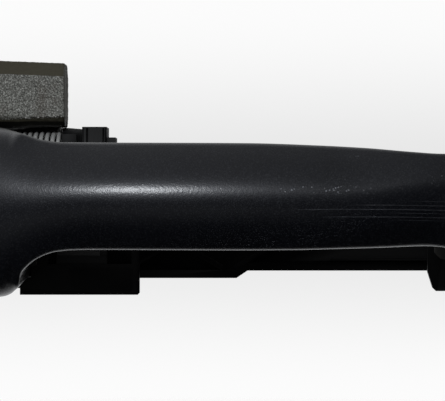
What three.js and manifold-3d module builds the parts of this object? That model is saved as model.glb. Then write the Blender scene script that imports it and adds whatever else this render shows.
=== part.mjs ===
// Outside door handle of a car: a pull grip hinged at its front end on a plastic carrier, with a
// bell crank, counterweight and torsion spring behind its rear head, and a key lock beside it.
// Millimetres, +X towards the hinge end, -Y out of the door, +Z up. The origin is on the plane
// of the carrier's datum pads, where the carrier bears on the inside of the door skin.
import * as THREE from "three";
import { LoftGeometry } from "three/addons/geometries/LoftGeometry.js";
import { mergeVertices } from "three/addons/utils/BufferGeometryUtils.js";
import Module from "manifold-3d";

const wasm = await Module();
wasm.setup();

// ---------------------------------------------------------------- driving dimensions
const GAP = 0.4; // clearance between pieces that touch

// Grip
const CROWN_X = 40; // where the strap stands furthest out
const CROWN_Y = -46;
const BOW_HALF = 105; // the crown falls back by BOW_DROP over this length
const BOW_DROP = 14;
const RIDGE_Z = 1.8; // height of the ridge line along the strap
const SIDE_DEPTH = 10.5; // from the crown back to the widest point of the section
const SECTION_POWER = 2.3; // squareness of the section
const WALL = 2.6;
const SEAT_Y = -3.1; // rims of both heads
const REAR_SPLIT_X = -52.9; // joint between grip and fixed lock cover
const REAR_END_X = -92;
const REAR_ROUND = 26; // length over which the rear end rounds off
const FRONT_END_X = 145;
const FRONT_ROUND = 18;
const INNER_DEPTH = 7; // thickness of the inner shell behind the rim

// Grip hinge
const HINGE_X = 147;
const HINGE_Y = 10.5;
const HINGE_PIN_R = 3;
const CLAW_R = 6.5;
const CLAW_HALF = 8;

// Bell crank: its axle lies along X
const CRANK_Y = 20;
const CRANK_Z = 12.5;
const AXLE_R = 2.5;
const HUB_R = 5.5;
const MANDREL_R = 5.2;
const HUB_X = [-48, -24];
const MANDREL_END_X = -9.4;
const FINGER_R = 2.2;
const FINGER_Y = 30.2;
const FINGER_Z = -14.1;
const FINGER_X = [-33, -18];
const LEVER_X = [-37, -32];
const CABLE_ARM_X = [-48, -43];
const CABLE_ARM_REACH = 11;
const CABLE_ARM_ANGLE = 201; // degrees from +Y towards +Z
const SADDLE_X = [-46, -26];
const SADDLE_TOP = 20.6;

// Counterweight, as a block of which the top slopes down towards the right
const WEIGHT_X = [-47, -7.6];
const WEIGHT_Y = [10, 28];
const WEIGHT_Z = [21.15, 40.6]; // at the right end
const WEIGHT_SLOPE = Math.tan(THREE.MathUtils.degToRad(2.2));
const WEIGHT_SCREW = [-36, CRANK_Y];

// Torsion spring. It is wound so that turning the crank closes its coils. Seen along the axle,
// both legs leave the coil along its tangent: the carrier leg at SPRING_START, and the crank leg
// half a turn round from it, going up and back into a notch of the counterweight's foot.
const WIRE_R = 0.65;
const SPRING_R = 6.85; // to the middle of the wire
const SPRING_START = THREE.MathUtils.degToRad(-60); // from +Y towards +Z
const SPRING_TURNS = 7.5;
const SPRING_X = [-23.15, -9.8];
const SPRING_LEG = 7.3; // length of either leg
const SPRING_STEPS = 14; // per turn
const SPRING_STOP_TOP = 7.9; // the carrier leg rests on it
const NOTCH_Y = [19.3, 23.8]; // notch for the crank leg
const NOTCH_TOP = 23;

// Pull arm
const ARM_X = [-29.5, -22];
const ARM_Z = [-22.5, -7.5];
const ARM_END_Y = 37;
const ARM_SEAT_Y = -28;
const ARM_SCREW_X = [-32, -16];
const ARM_SCREW_Z = -3.5;

// Lock
const LOCK_X = -72;
const LOCK_Z = -3;
const LOCK_R = 11;
const PLUG_R = 6.5;
const LOCK_FACE_Y = -32.2;
const LOCK_BACK_Y = 22;

// Carrier
const PLATE_Y = 0.5; // front of the plate; the datum pads stand at y = 0
const PLATE_BACK = 3.2;
const RAIL_Y = 12; // front of the rail behind the finger space
const RAIL_BACK = 32;
const RAIL_TOP = 12;
const RAIL_LOW = -24.6;
const RAIL_HIGH = -22.35;
const RAIL_STEP_X = [44.2, 47.6];
const RAIL_END_X = 106; // inside the foot's left wall
const RAIL_BOSS = [48, -5];
const FLANGE = 2.4;
const FOOT_X = [101.8, 158];
const FOOT_Z = [-28.1, 12];
const FOOT_DRAFT = 2.4; // the foot's left wall leans to the right towards its back
const BLOCK_X = [-20.3, 15.3];
const BLOCK_Z = [-29.2, -20.1];
const BLOCK_DRAFT = 1.2; // the block's right wall leans to the left towards its back
const EAR_X = [-8.7, -2.7];
const FAR_EAR_X = [-56, -50];
const EAR_R = 8.6;
const POST_X = [-2.3, 5.1];
const POST_TOP = 21.05;
const FLOOR_Z = [-27.2, -24.8];
const CARRIER_SCREW = [120, -14.8];

// Gaskets
const GASKET_Y = [-2.7, -1.0];

// ---------------------------------------------------------------- materials
const looks = (color, roughness, metalness) => ({ color, roughness, metalness });
const PAINT = looks(0x24262b, 0.35, 0.4);
const BLACK_PLASTIC = looks(0x141516, 0.6, 0);
const CAST_METAL = looks(0x6a6b66, 0.8, 0.5);
const CAST_ZINC = looks(0x8d9092, 0.5, 0.8);
const STEEL = looks(0xb4b6b8, 0.35, 1);
const CHROME = looks(0xd8dadc, 0.15, 1);
const BRASS = looks(0xb89a55, 0.4, 1);
const RUBBER = looks(0x1b1b1b, 0.9, 0);
const GREY_PLASTIC = looks(0xb9bab4, 0.6, 0);

// ---------------------------------------------------------------- solids
// A closed geometry as a solid that can be joined and cut
function solid(geometry) {
  const bare = new THREE.BufferGeometry();
  bare.setAttribute("position", geometry.getAttribute("position"));
  if (geometry.index) bare.setIndex(geometry.index);
  const merged = mergeVertices(bare, 1e-4);
  return new wasm.Manifold(
    new wasm.Mesh({
      numProp: 3,
      vertProperties: new Float32Array(merged.attributes.position.array),
      triVerts: new Uint32Array(merged.index.array),
    }),
  );
}

const join = (...solids) => solids.reduce((sum, next) => sum.add(next));
const cut = (body, ...tools) => tools.reduce((rest, tool) => rest.subtract(tool), body);

// A block between two values on each axis
function block([x0, x1], [y0, y1], [z0, z1]) {
  const geometry = new THREE.BoxGeometry(x1 - x0, y1 - y0, z1 - z0);
  geometry.translate((x0 + x1) / 2, (y0 + y1) / 2, (z0 + z1) / 2);
  return solid(geometry);
}

// An outline of [u, v] points pushed along one axis. Along x the outline is (y, z), along y it
// is (x, z), along z it is (x, y).
function prism(axis, outline, [from, to]) {
  const shape = new THREE.Shape(outline.map(([u, v]) => new THREE.Vector2(u, v)));
  const geometry = new THREE.ExtrudeGeometry(shape, { depth: to - from, bevelEnabled: false });
  if (axis === "x") {
    geometry.rotateX(Math.PI / 2).rotateZ(Math.PI / 2);
    geometry.translate(from, 0, 0);
  } else if (axis === "y") {
    geometry.rotateX(Math.PI / 2);
    geometry.translate(0, to, 0);
  } else {
    geometry.translate(0, 0, from);
  }
  return solid(geometry);
}

// A round bar along one axis, centred on the two other coordinates in their own order
function rod(axis, [u, v], radius, [from, to], sides = 24) {
  const geometry = new THREE.CylinderGeometry(radius, radius, to - from, sides);
  const middle = (from + to) / 2;
  if (axis === "x") geometry.rotateZ(-Math.PI / 2).translate(middle, u, v);
  else if (axis === "y") geometry.translate(u, middle, v);
  else geometry.rotateX(Math.PI / 2).translate(u, v, middle);
  return solid(geometry);
}

const tube = (axis, centre, outer, inner, [from, to], sides = 24) =>
  cut(
    rod(axis, centre, outer, [from, to], sides),
    rod(axis, centre, inner, [from - 1, to + 1], sides),
  );

// Sections of [y, z] points, one for each station along x
function skin(stations, sectionAt) {
  const sections = stations.map((x) => sectionAt(x).map(([y, z]) => new THREE.Vector3(x, y, z)));
  return solid(new LoftGeometry(sections, { closed: true, capStart: true, capEnd: true }));
}

// A smooth curve through [x, value] points that never overshoots them
function curveThrough(points) {
  const slopes = points.slice(1).map(([x, v], i) => (v - points[i][1]) / (x - points[i][0]));
  const tangents = points.map((_, i) => {
    const before = slopes[i - 1] ?? slopes[i];
    const after = slopes[i] ?? slopes[i - 1];
    return before * after <= 0 ? 0 : (2 * before * after) / (before + after);
  });
  return (x) => {
    let i = 0;
    while (i < points.length - 2 && x > points[i + 1][0]) i += 1;
    const width = points[i + 1][0] - points[i][0];
    const t = THREE.MathUtils.clamp((x - points[i][0]) / width, 0, 1);
    const rest = 1 - t;
    return (
      points[i][1] * rest * rest * (1 + 2 * t) +
      tangents[i] * width * t * rest * rest +
      points[i + 1][1] * t * t * (3 - 2 * t) -
      tangents[i + 1] * width * t * t * rest
    );
  };
}

// ---------------------------------------------------------------- outline of the grip
const upperEdge = curveThrough([
  [-66, 20.1],
  [-50, 20.6],
  [-34, 20.4],
  [-21.8, 19.2],
  [-16, 17.6],
  [-11.2, 16.1],
  [-6, 15.4],
  [0, 15.3],
  [47, 15.07],
  [67, 14.42],
  [80, 13.72],
  [94, 12.52],
  [101.5, 12.05],
  [127, 11.9],
]);
const lowerEdge = curveThrough([
  [-66, -27.2],
  [-50, -28.7],
  [-32, -29.1],
  [-26, -29.0],
  [-22.6, -28.6],
  [-20.9, -28.0],
  [-19.3, -26.8],
  [-18.2, -25.9],
  [-17.7, -25.0],
  [-17.3, -22.7],
  [-16.6, -21.2],
  [-15.2, -19.7],
  [-13.2, -18.1],
  [-11.0, -16.95],
  [-9, -16.2],
  [-7, -15.75],
  [-3, -15.35],
  [4, -15.2],
  [50, -15.17],
  [74, -14.8],
  [92, -14.1],
  [101.5, -14.5],
  [110, -16.4],
  [119, -17.5],
  [127, -17.7],
]);

// 1 along the handle, falling to 0 at either rounded end
function endRound(x) {
  const rear = (REAR_END_X + REAR_ROUND - x) / REAR_ROUND;
  const front = (x - (FRONT_END_X - FRONT_ROUND)) / FRONT_ROUND;
  const into = THREE.MathUtils.clamp(Math.max(rear, front, 0), 0, 1);
  return (1 - into ** SECTION_POWER) ** (1 / SECTION_POWER);
}

const edgeZ = (edge, x) => RIDGE_Z + (edge(x) - RIDGE_Z) * endRound(x);
const bow = (x) => CROWN_Y + ((x - CROWN_X) / BOW_HALF) ** 2 * BOW_DROP;
const crownY = (x) => SEAT_Y + (bow(x) - SEAT_Y) * endRound(x) ** 0.5;
const sideY = (x) => Math.min(crownY(x) + SIDE_DEPTH, SEAT_Y);

// How far the strap has turned into a head, from 0 to 1
function intoHead(x, rearStart, rearEnd, frontStart, frontEnd) {
  const rear = THREE.MathUtils.smoothstep(-x, -rearStart, -rearEnd);
  return Math.max(rear, THREE.MathUtils.smoothstep(x, frontStart, frontEnd));
}
const rimY = (x) => THREE.MathUtils.lerp(sideY(x), SEAT_Y, intoHead(x, 12, -16, 98, 119));
const innerBackY = (x) =>
  THREE.MathUtils.lerp(sideY(x) + INNER_DEPTH, SEAT_Y - 1, intoHead(x, 14, -8, 98, 112));

// Stations along x, closer together where the outline turns quickly
const STATIONS = [
  -92, -91.4, -90, -87, -82, -75, -66, -59, -52.9, -52.5, -44, -36, -29, -24, -20.5, -18.2, -17, -16.2,
  -15, -13, -10.5, -8, -4, 0, 4, 8, 12, 18, 29, 40, 52, 64, 76, 86, 94, 100, 104, 108, 112,
  116, 120, 127, 133, 138, 141.5, 143.8, 145,
];
const stationsBetween = (from, to) => [
  from,
  ...STATIONS.filter((x) => x > from + 0.3 && x < to - 0.3),
  to,
];

// The outer surface, `inset` behind it, from the upper rim over the ridge to the lower rim
function surfaceSection(x, inset, rim) {
  const HALF_STEPS = 8;
  const side = sideY(x);
  const depth = Math.max(side - crownY(x) - inset, 0.3);
  const top = Math.max(edgeZ(upperEdge, x) - inset, RIDGE_Z + 0.3);
  const bottom = Math.min(edgeZ(lowerEdge, x) + inset, RIDGE_Z - 0.3);
  const points = [[rim, top]];
  for (let i = 0; i <= 2 * HALF_STEPS; i += 1) {
    const angle = (i / (2 * HALF_STEPS)) * Math.PI;
    const across = Math.abs(Math.cos(angle)) ** (2 / SECTION_POWER);
    const forward = Math.sin(angle) ** (2 / SECTION_POWER);
    const edge = i <= HALF_STEPS ? top : bottom;
    points.push([side - depth * forward, RIDGE_Z + (edge - RIDGE_Z) * across]);
  }
  points.push([rim, bottom]);
  return points;
}

// A painted shell between two stations, closed at both ends and open at the back
function paintedShell(from, to, wallFrom, wallTo) {
  const outer = skin(stationsBetween(from, to), (x) =>
    surfaceSection(x, 0, Math.max(rimY(x), sideY(x) + 0.05)),
  );
  const hollow = skin(stationsBetween(from + wallFrom, to - wallTo), (x) =>
    surfaceSection(x, WALL, SEAT_Y + 3),
  );
  return cut(outer, hollow);
}

// ---------------------------------------------------------------- grip
function gripOuterShell() {
  return paintedShell(REAR_SPLIT_X + 0.7, FRONT_END_X, WALL, WALL + 0.6);
}

function gripInnerShell() {
  const spineFront = (x) => crownY(x) + 6.5;
  const rimTop = (x) => edgeZ(upperEdge, x) - 0.9;
  const rimBottom = (x) => edgeZ(lowerEdge, x) + 0.9;
  // flange that closes the strap and carries the fingers
  const flange = skin(stationsBetween(-8, 108), (x) => {
    const front = rimY(x) + GAP;
    const back = innerBackY(x);
    const top = rimTop(x);
    const bottom = rimBottom(x);
    return [
      [front, top],
      [front, bottom],
      [back - 3.6, bottom + 0.3],
      [back - 1.3, bottom + 1.6],
      [back, bottom + 5],
      [back, top - 5],
      [back - 1.3, top - 1.6],
      [back - 3.6, top - 0.3],
    ];
  });
  // spine inside the painted shell, from head to head
  const spine = skin(stationsBetween(-47, 126), (x) => {
    const front = spineFront(x);
    const top = Math.min(10, (edgeZ(upperEdge, x) - WALL) * 0.72);
    const bottom = Math.max(-10, (edgeZ(lowerEdge, x) + WALL) * 0.72);
    return [
      [front, top],
      [front, bottom],
      [front + 3, bottom],
      [front + 3, top],
    ];
  });
  const web = skin(stationsBetween(-7.5, 107.5), (x) => [
    [spineFront(x) + 2.5, 7],
    [spineFront(x) + 2.5, -7],
    [rimY(x) + GAP + 1, -7],
    [rimY(x) + GAP + 1, 7],
  ]);
  const armSeat = block([-36, -12], [-34.6, ARM_SEAT_Y], [-10, 8]);
  const bufferPost = block([-47, -39], [-30.5, -8], [-4, 4]);
  // claw that hooks on the hinge pin
  const clawOutline = [
    [112, -31],
    [112, 2],
    [117, 10],
    [128, 15.5],
    [HINGE_X, HINGE_Y + CLAW_R],
    [HINGE_X, HINGE_Y - CLAW_R],
    [135, 3],
    [127, -4],
    [123, -14],
    [123, -31],
  ].reverse();
  const claw = join(
    prism("z", clawOutline, [-CLAW_HALF, CLAW_HALF]),
    rod("z", [HINGE_X, HINGE_Y], CLAW_R, [-CLAW_HALF, CLAW_HALF]),
  );
  const clawBore = rod("z", [HINGE_X, HINGE_Y], HINGE_PIN_R + 0.35, [-20, 20]);
  const clawMouth = block([HINGE_X, HINGE_X + 10], [HINGE_Y - 2.4, HINGE_Y + 2.4], [-20, 20]);
  const screwHoles = ARM_SCREW_X.map((x) => rod("y", [x, ARM_SCREW_Z], 2, [-60, -20], 12));
  return cut(
    join(flange, spine, web, armSeat, bufferPost, claw),
    clawBore,
    clawMouth,
    ...screwHoles,
  );
}

function pullArm() {
  const base = block([-36, -12], [ARM_SEAT_Y + GAP, ARM_SEAT_Y + GAP + 3], [-14, 1]);
  const arm = block(ARM_X, [ARM_SEAT_Y + 2, ARM_END_Y], ARM_Z);
  const window = block([-60, 0], [26.2, 33.9], [-19, -11]);
  const lighten = block([-60, 0], [-20, 14], [-18.5, -11.5]);
  const screwHoles = ARM_SCREW_X.map((x) => rod("y", [x, ARM_SCREW_Z], 2, [-60, -20], 12));
  return cut(join(base, arm), window, lighten, ...screwHoles);
}

function gripScrew(x) {
  const seat = ARM_SEAT_Y + GAP + 3 + 0.3;
  return join(
    rod("y", [x, ARM_SCREW_Z], 1.6, [-34, seat + 0.5], 12),
    rod("y", [x, ARM_SCREW_Z], 3, [seat, seat + 2], 18),
  );
}

function restBuffer() {
  return cut(
    rod("y", [-43, 0], 3.6, [-7.6, 0.1], 20),
    rod("y", [-43, 0], 1.2, [-4, 2], 12),
  );
}

// ---------------------------------------------------------------- bell crank
const CRANK = [CRANK_Y, CRANK_Z];

function bellCrank() {
  const hub = rod("x", CRANK, HUB_R, HUB_X);
  const mandrel = rod("x", CRANK, MANDREL_R, [HUB_X[1] - 1, MANDREL_END_X]);
  const leverOutline = [
    [CRANK_Y - 5, CRANK_Z],
    [FINGER_Y - 3.2, FINGER_Z - 1.5],
    [FINGER_Y, FINGER_Z - 3.4],
    [FINGER_Y + 3.2, FINGER_Z - 0.5],
    [CRANK_Y + 5, CRANK_Z + 1],
  ];
  const lever = prism("x", leverOutline, LEVER_X);
  const finger = rod("x", [FINGER_Y, FINGER_Z], FINGER_R, FINGER_X, 20);
  const along = THREE.MathUtils.degToRad(CABLE_ARM_ANGLE);
  const tip = [
    CRANK_Y + CABLE_ARM_REACH * Math.cos(along),
    CRANK_Z + CABLE_ARM_REACH * Math.sin(along),
  ];
  const side = [-Math.sin(along) * 2.6, Math.cos(along) * 2.6];
  const armOutline = [
    [CRANK_Y + side[0], CRANK_Z + side[1]],
    [tip[0] + side[0], tip[1] + side[1]],
    [tip[0] - side[0], tip[1] - side[1]],
    [CRANK_Y - side[0], CRANK_Z - side[1]],
  ];
  const cableArm = join(
    prism("x", armOutline, CABLE_ARM_X),
    rod("x", tip, 2.6, CABLE_ARM_X, 16),
  );
  const saddle = block(SADDLE_X, [CRANK_Y - 6, CRANK_Y + 6], [CRANK_Z + 4.4, SADDLE_TOP]);
  // angle section behind the coil that carries the free end of the counterweight
  const shelfX = [SADDLE_X[1] - 1, MANDREL_END_X];
  const shelf = join(
    block(shelfX, [24.8, 28.2], [18.9, SADDLE_TOP]),
    block(shelfX, [26.9, 28.2], [19.5, 22]),
    block([shelfX[0] + 6.5, shelfX[1]], [26.9, 28.2], [16.1, 20]),
    block([SADDLE_X[1] - 1, SADDLE_X[1] + 1.5], [CRANK_Y + 5, 28.2], [CRANK_Z + 4.4, SADDLE_TOP]),
  );
  return cut(
    join(hub, mandrel, lever, finger, cableArm, saddle, shelf),
    rod("x", CRANK, AXLE_R + 0.3, [-60, 10]),
    rod("x", tip, 1.1, [-60, -40], 12),
    rod("z", WEIGHT_SCREW, 1.9, [CRANK_Z + 4.9, 30], 12),
  );
}

// Rough cast block with chamfered long edges, a level foot and a sloping top. The crank leg of
// the spring stands in a notch at the right end of its foot.
function counterweight() {
  const [x0, x1] = WEIGHT_X;
  const [y0, y1] = WEIGHT_Y;
  const [z0, z1] = WEIGHT_Z;
  const TOP_CHAMFER = 4.2;
  const FOOT_CHAMFER = 4.2;
  const SPARE = 1.5; // cut off again below the level foot
  const section = [
    [y0 + FOOT_CHAMFER, z0 - SPARE],
    [y1 - FOOT_CHAMFER, z0 - SPARE],
    [y1, z0 - SPARE + FOOT_CHAMFER],
    [y1, z1 - TOP_CHAMFER],
    [y1 - TOP_CHAMFER, z1],
    [y0 + TOP_CHAMFER, z1],
    [y0, z1 - TOP_CHAMFER],
    [y0, z0 - SPARE + FOOT_CHAMFER],
  ];
  const slope = new THREE.Matrix4().makeShear(0, -WEIGHT_SLOPE, 0, 0, 0, 0);
  const toRightEnd = new THREE.Matrix4().makeTranslation(0, 0, x1 * WEIGHT_SLOPE);
  return cut(
    prism("x", section, WEIGHT_X).transform(toRightEnd.multiply(slope).elements),
    block([x0 - 5, x1 + 5], [0, 60], [0, z0]),
    block([SPRING_X[1] - 1, x1 + 1], NOTCH_Y, [z0 - 1, NOTCH_TOP]),
    rod("z", WEIGHT_SCREW, 2.3, [0, 60], 16),
    rod("z", WEIGHT_SCREW, 4.8, [34, 60], 20),
  );
}

function counterweightScrew() {
  const socket = rod("z", WEIGHT_SCREW, 1.8, [37, 42], 6);
  return cut(
    join(
      rod("z", WEIGHT_SCREW, 1.6, [17.8, 35], 14),
      rod("z", WEIGHT_SCREW, 4.3, [34.4, 39], 20),
    ),
    socket,
  );
}

// Centre line of the torsion spring, straight at both ends
class SpringLine extends THREE.Curve {
  getPoint(t, target = new THREE.Vector3()) {
    const LEG_SHARE = 0.035; // of the parameter, at each end
    const wound = THREE.MathUtils.clamp((t - LEG_SHARE) / (1 - 2 * LEG_SHARE), 0, 1);
    const angle = SPRING_START - wound * SPRING_TURNS * 2 * Math.PI;
    const x = THREE.MathUtils.lerp(SPRING_X[0], SPRING_X[1], wound);
    target.set(x, CRANK_Y + SPRING_R * Math.cos(angle), CRANK_Z + SPRING_R * Math.sin(angle));
    // onwards along the tangent at the crank end, backwards along it at the carrier end
    const past = Math.max(t - 1 + LEG_SHARE, 0) - Math.max(LEG_SHARE - t, 0);
    const along = (past / LEG_SHARE) * SPRING_LEG;
    target.y += along * Math.sin(angle);
    target.z -= along * Math.cos(angle);
    return target;
  }
}

function returnSpring() {
  const section = new THREE.Shape(
    Array.from({ length: 6 }, (_, i) => {
      const angle = (i * Math.PI) / 3;
      return new THREE.Vector2(WIRE_R * Math.cos(angle), WIRE_R * Math.sin(angle));
    }),
  );
  const geometry = new THREE.ExtrudeGeometry(section, {
    steps: Math.round(SPRING_TURNS * SPRING_STEPS) + 8,
    extrudePath: new SpringLine(),
    bevelEnabled: false,
  });
  return solid(geometry);
}

function pivotPin() {
  return cut(
    rod("x", CRANK, AXLE_R, [-59, 1.5]),
    tube("x", CRANK, 4, 1.7, [-57.8, -56.6]),
  );
}

function pinRetainingClip() {
  return cut(
    tube("x", CRANK, 4.6, 2.05, [-57.6, -56.8]),
    block([-60, -50], [CRANK_Y - 1.6, CRANK_Y + 1.6], [0, CRANK_Z]),
  );
}

// ---------------------------------------------------------------- carrier
function rail() {
  const span = [4, RAIL_END_X];
  const web = block(span, [RAIL_Y + 2, RAIL_Y + 4.5], [RAIL_HIGH, RAIL_TOP]);
  const topFlange = block(span, [RAIL_Y, RAIL_BACK], [RAIL_TOP - FLANGE, RAIL_TOP]);
  const lowOutline = [
    [BLOCK_X[1] - 3, RAIL_LOW],
    [RAIL_STEP_X[0], RAIL_LOW],
    [RAIL_STEP_X[1], RAIL_HIGH],
    [RAIL_END_X, RAIL_HIGH],
    [RAIL_END_X, RAIL_HIGH + FLANGE],
    [RAIL_STEP_X[1] - 0.8, RAIL_HIGH + FLANGE],
    [RAIL_STEP_X[0] - 0.8, RAIL_LOW + FLANGE],
    [BLOCK_X[1] - 3, RAIL_LOW + FLANGE],
  ];
  const lowFlange = prism("y", lowOutline, [RAIL_Y, RAIL_BACK]);
  // upright ribs in the channel behind the web
  const CHANNEL_RIB = 1.3;
  const channelRibs = [22, 38, 58, 74, 90].map((x) =>
    block([x, x + CHANNEL_RIB], [RAIL_Y + 4, RAIL_BACK - 3], [RAIL_HIGH + 1, RAIL_TOP - 1]),
  );
  // hollow boss with two gussets for fixing the carrier to the door's inner panel
  const [bossX, bossZ] = RAIL_BOSS;
  const boss = tube("y", RAIL_BOSS, 5.2, 2.4, [RAIL_Y + 4, RAIL_BACK - 1], 32);
  const gussets = block([bossX - 12, bossX + 12], [RAIL_Y + 4, RAIL_BACK - 8], [bossZ - 0.7, bossZ + 0.7]);
  const behindWeb = join(boss, cut(gussets, rod("y", RAIL_BOSS, 3, [0, 60])));
  return join(web, topFlange, lowFlange, behindWeb, ...channelRibs, ...trussRibs());
}

// Diagonal ribs on the front of the web, and a level one low at its right
function trussRibs() {
  const RIB = 1.4;
  const LOW = -21.6;
  const diagonals = [
    [[11.4, LOW], [67.4, 11]],
    [[40.2, LOW], [5, -1.1]],
    [[43.5, LOW], [99.5, 11]],
    [[104, -12], [64, 11]],
  ];
  const ribs = diagonals.map(([low, high]) => {
    const rise = (high[1] - low[1]) / (high[0] - low[0]);
    const half = (RIB / 2) * Math.hypot(1, rise);
    const outline = [
      [low[0], low[1] - half],
      [low[0], low[1] + half],
      [high[0], high[1] + half],
      [high[0], high[1] - half],
    ];
    return prism("y", rise < 0 ? outline : outline.reverse(), [RAIL_Y, RAIL_Y + 3]);
  });
  const levelRib = block([72.6, RAIL_END_X], [RAIL_Y + 0.8, RAIL_Y + 3], [-19.3, -18.6]);
  return [...ribs, levelRib];
}

// The bay round the bell crank: two ears that carry the axle, a floor and a rear lip
function crankBay() {
  const ear = (span) =>
    join(
      rod("x", CRANK, EAR_R, span, 32),
      block(span, [CRANK_Y - EAR_R + 0.3, CRANK_Y + EAR_R - 0.3], [-10, CRANK_Z]),
      block(span, [PLATE_BACK - 1, 40], [FLOOR_Z[0] + 1, 6]),
    );
  const plate = block([-98, -12], [PLATE_Y, PLATE_BACK], [-25, 15]);
  const bayX = [FAR_EAR_X[0] + 0.6, EAR_X[1] - 0.6];
  const bayFloor = block(bayX, [PLATE_Y, 40.6], FLOOR_Z);
  const rearLip = block(bayX, [38, 40.6], [FLOOR_Z[0] + 0.5, -20]);
  const springStop = block([-27, EAR_X[0] + 1], [27.6, 31], [3.2, SPRING_STOP_TOP]);
  const earPad = block([EAR_X[0], EAR_X[1] - 1.5], [11.8, CRANK_Y], [-10, 19]);
  const bayRibs = [-44, -14].map((x) => block([x, x + 1.4], [14, 39], [FLOOR_Z[1] - 0.5, -21.4]));
  const ears = [ear(EAR_X), ear(FAR_EAR_X)];
  return join(plate, bayFloor, rearLip, springStop, earPad, ...bayRibs, ...ears);
}

function lockTower() {
  const sleeve = rod("y", [LOCK_X, LOCK_Z], 13.6, [PLATE_Y, 16], 32);
  const clampBox = block([-98, -80], [PLATE_Y, 16], [-12, 6]);
  return join(sleeve, clampBox);
}

function rearBlock() {
  const front = block(BLOCK_X, [PLATE_Y, PLATE_BACK], BLOCK_Z);
  const datumPad = block([-5, 13], [0, PLATE_Y + 1], [-28, -21.4]);
  const [x0, x1] = BLOCK_X;
  const drafted = (inner) => [
    [inner[0], PLATE_Y],
    [x1, PLATE_Y],
    [x1 - BLOCK_DRAFT, RAIL_BACK],
    [inner[1], RAIL_BACK],
  ];
  const bottom = prism("z", drafted([x0, x0]), [BLOCK_Z[0], BLOCK_Z[0] + 2.2]);
  const corner = [
    [x1 - 1.1, BLOCK_Z[0] - 1],
    [x1 + 1, BLOCK_Z[0] - 1],
    [x1 + 1, BLOCK_Z[0] + 1.1],
    [x1 - 0.3, BLOCK_Z[0] + 0.35],
  ];
  const wallInside = x1 - 2.4;
  const rightWall = prism("z", drafted([wallInside, wallInside - BLOCK_DRAFT]), [BLOCK_Z[0], 11]);
  const leftWall = block([x0, x0 + 2], [PLATE_Y, RAIL_BACK], [BLOCK_Z[0], FLOOR_Z[1]]);
  const recessed = block([-14, x1 - 0.3], [2.6, 5.2], [BLOCK_Z[0], 12]);
  const ledgeSection = [
    [PLATE_Y, BLOCK_Z[1] - 0.5],
    [4, BLOCK_Z[1] - 0.5],
    [4, -15.2],
    [PLATE_Y + 2.2, -15.2],
    [PLATE_Y, -17.6],
  ];
  const ledge = prism("x", ledgeSection, [-9.5, 3.5]);
  const ledgeStep = block([3, 5.6], [PLATE_Y, 4], [BLOCK_Z[1] - 0.5, -17.6]);
  const body = join(front, datumPad, bottom, rightWall, leftWall, recessed, ledge, ledgeStep);
  return cut(body, prism("y", corner, [PLATE_Y - 1, RAIL_BACK + 1]));
}

// Post with chamfered upright edges and two upright grooves, and the low step beside it
function post() {
  const [x0, x1] = POST_X;
  const FRONT = 8.5;
  const CHAMFER = 0.5;
  const GROOVE = 0.6;
  const STRIP = 1.25; // from the side of the post to a groove
  const outline = [
    [x0, FRONT + CHAMFER],
    [x0 + CHAMFER, FRONT],
    [x1 - CHAMFER, FRONT],
    [x1, FRONT + CHAMFER],
    [x1, 24],
    [x0, 24],
  ];
  const shaft = prism("z", outline, [-25, POST_TOP]);
  const grooves = [x0 + STRIP, x1 - STRIP].map((x) =>
    block([x, x + GROOVE], [0, FRONT + 0.9], [12, POST_TOP - 0.4]),
  );
  const step = block([x1 - 1, x1 + 2.6], [10, 22], [8, 17.9]);
  const toWall = block([x0, BLOCK_X[1] - 0.5], [3, 10], [-25, 11]);
  return cut(join(shaft, step, toWall), ...grooves);
}

// Front end of the carrier: a tray that holds the hinge pin between two lugs
function foot() {
  const [x0, x1] = FOOT_X;
  const [z0, z1] = FOOT_Z;
  const outline = [
    [x0 + 0.8, z0 + 1],
    [x0 + 1.8, z0],
    [x1 - 2, z0],
    [x1, z0 + 2],
    [x1, z1 - 2],
    [x1 - 2, z1],
    [x0 - 0.7, z1],
    [x0 - 0.7, RAIL_HIGH],
  ];
  const plate = prism("y", outline, [PLATE_Y, PLATE_BACK]);
  const datumPad = block([106, 150], [0, PLATE_Y + 1], [-27.2, -20.6]);
  const wallX = x0 + 1;
  const wallOutline = [
    [wallX, PLATE_BACK - 1],
    [wallX + FLANGE, PLATE_BACK - 1],
    [wallX + FLANGE + FOOT_DRAFT, RAIL_BACK],
    [wallX + FOOT_DRAFT, RAIL_BACK],
  ];
  const leftWall = prism("z", wallOutline, [z0 + 1, z1]);
  const bottom = block([wallX + FOOT_DRAFT, x1 - 2], [PLATE_Y, 26], [z0, z0 + FLANGE]);
  const endWall = block([x1 - FLANGE, x1], [PLATE_Y, 18], [z0 + 2, z1 - 2]);
  const lugs = [-14, 9.5].map((z) => block([139, x1], [PLATE_Y, 17], [z, z + 4.5]));
  const screwBoss = rod("y", CARRIER_SCREW, 5.6, [PLATE_Y, 10], 24);
  return join(plate, datumPad, leftWall, bottom, endWall, screwBoss, ...lugs);
}

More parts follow.
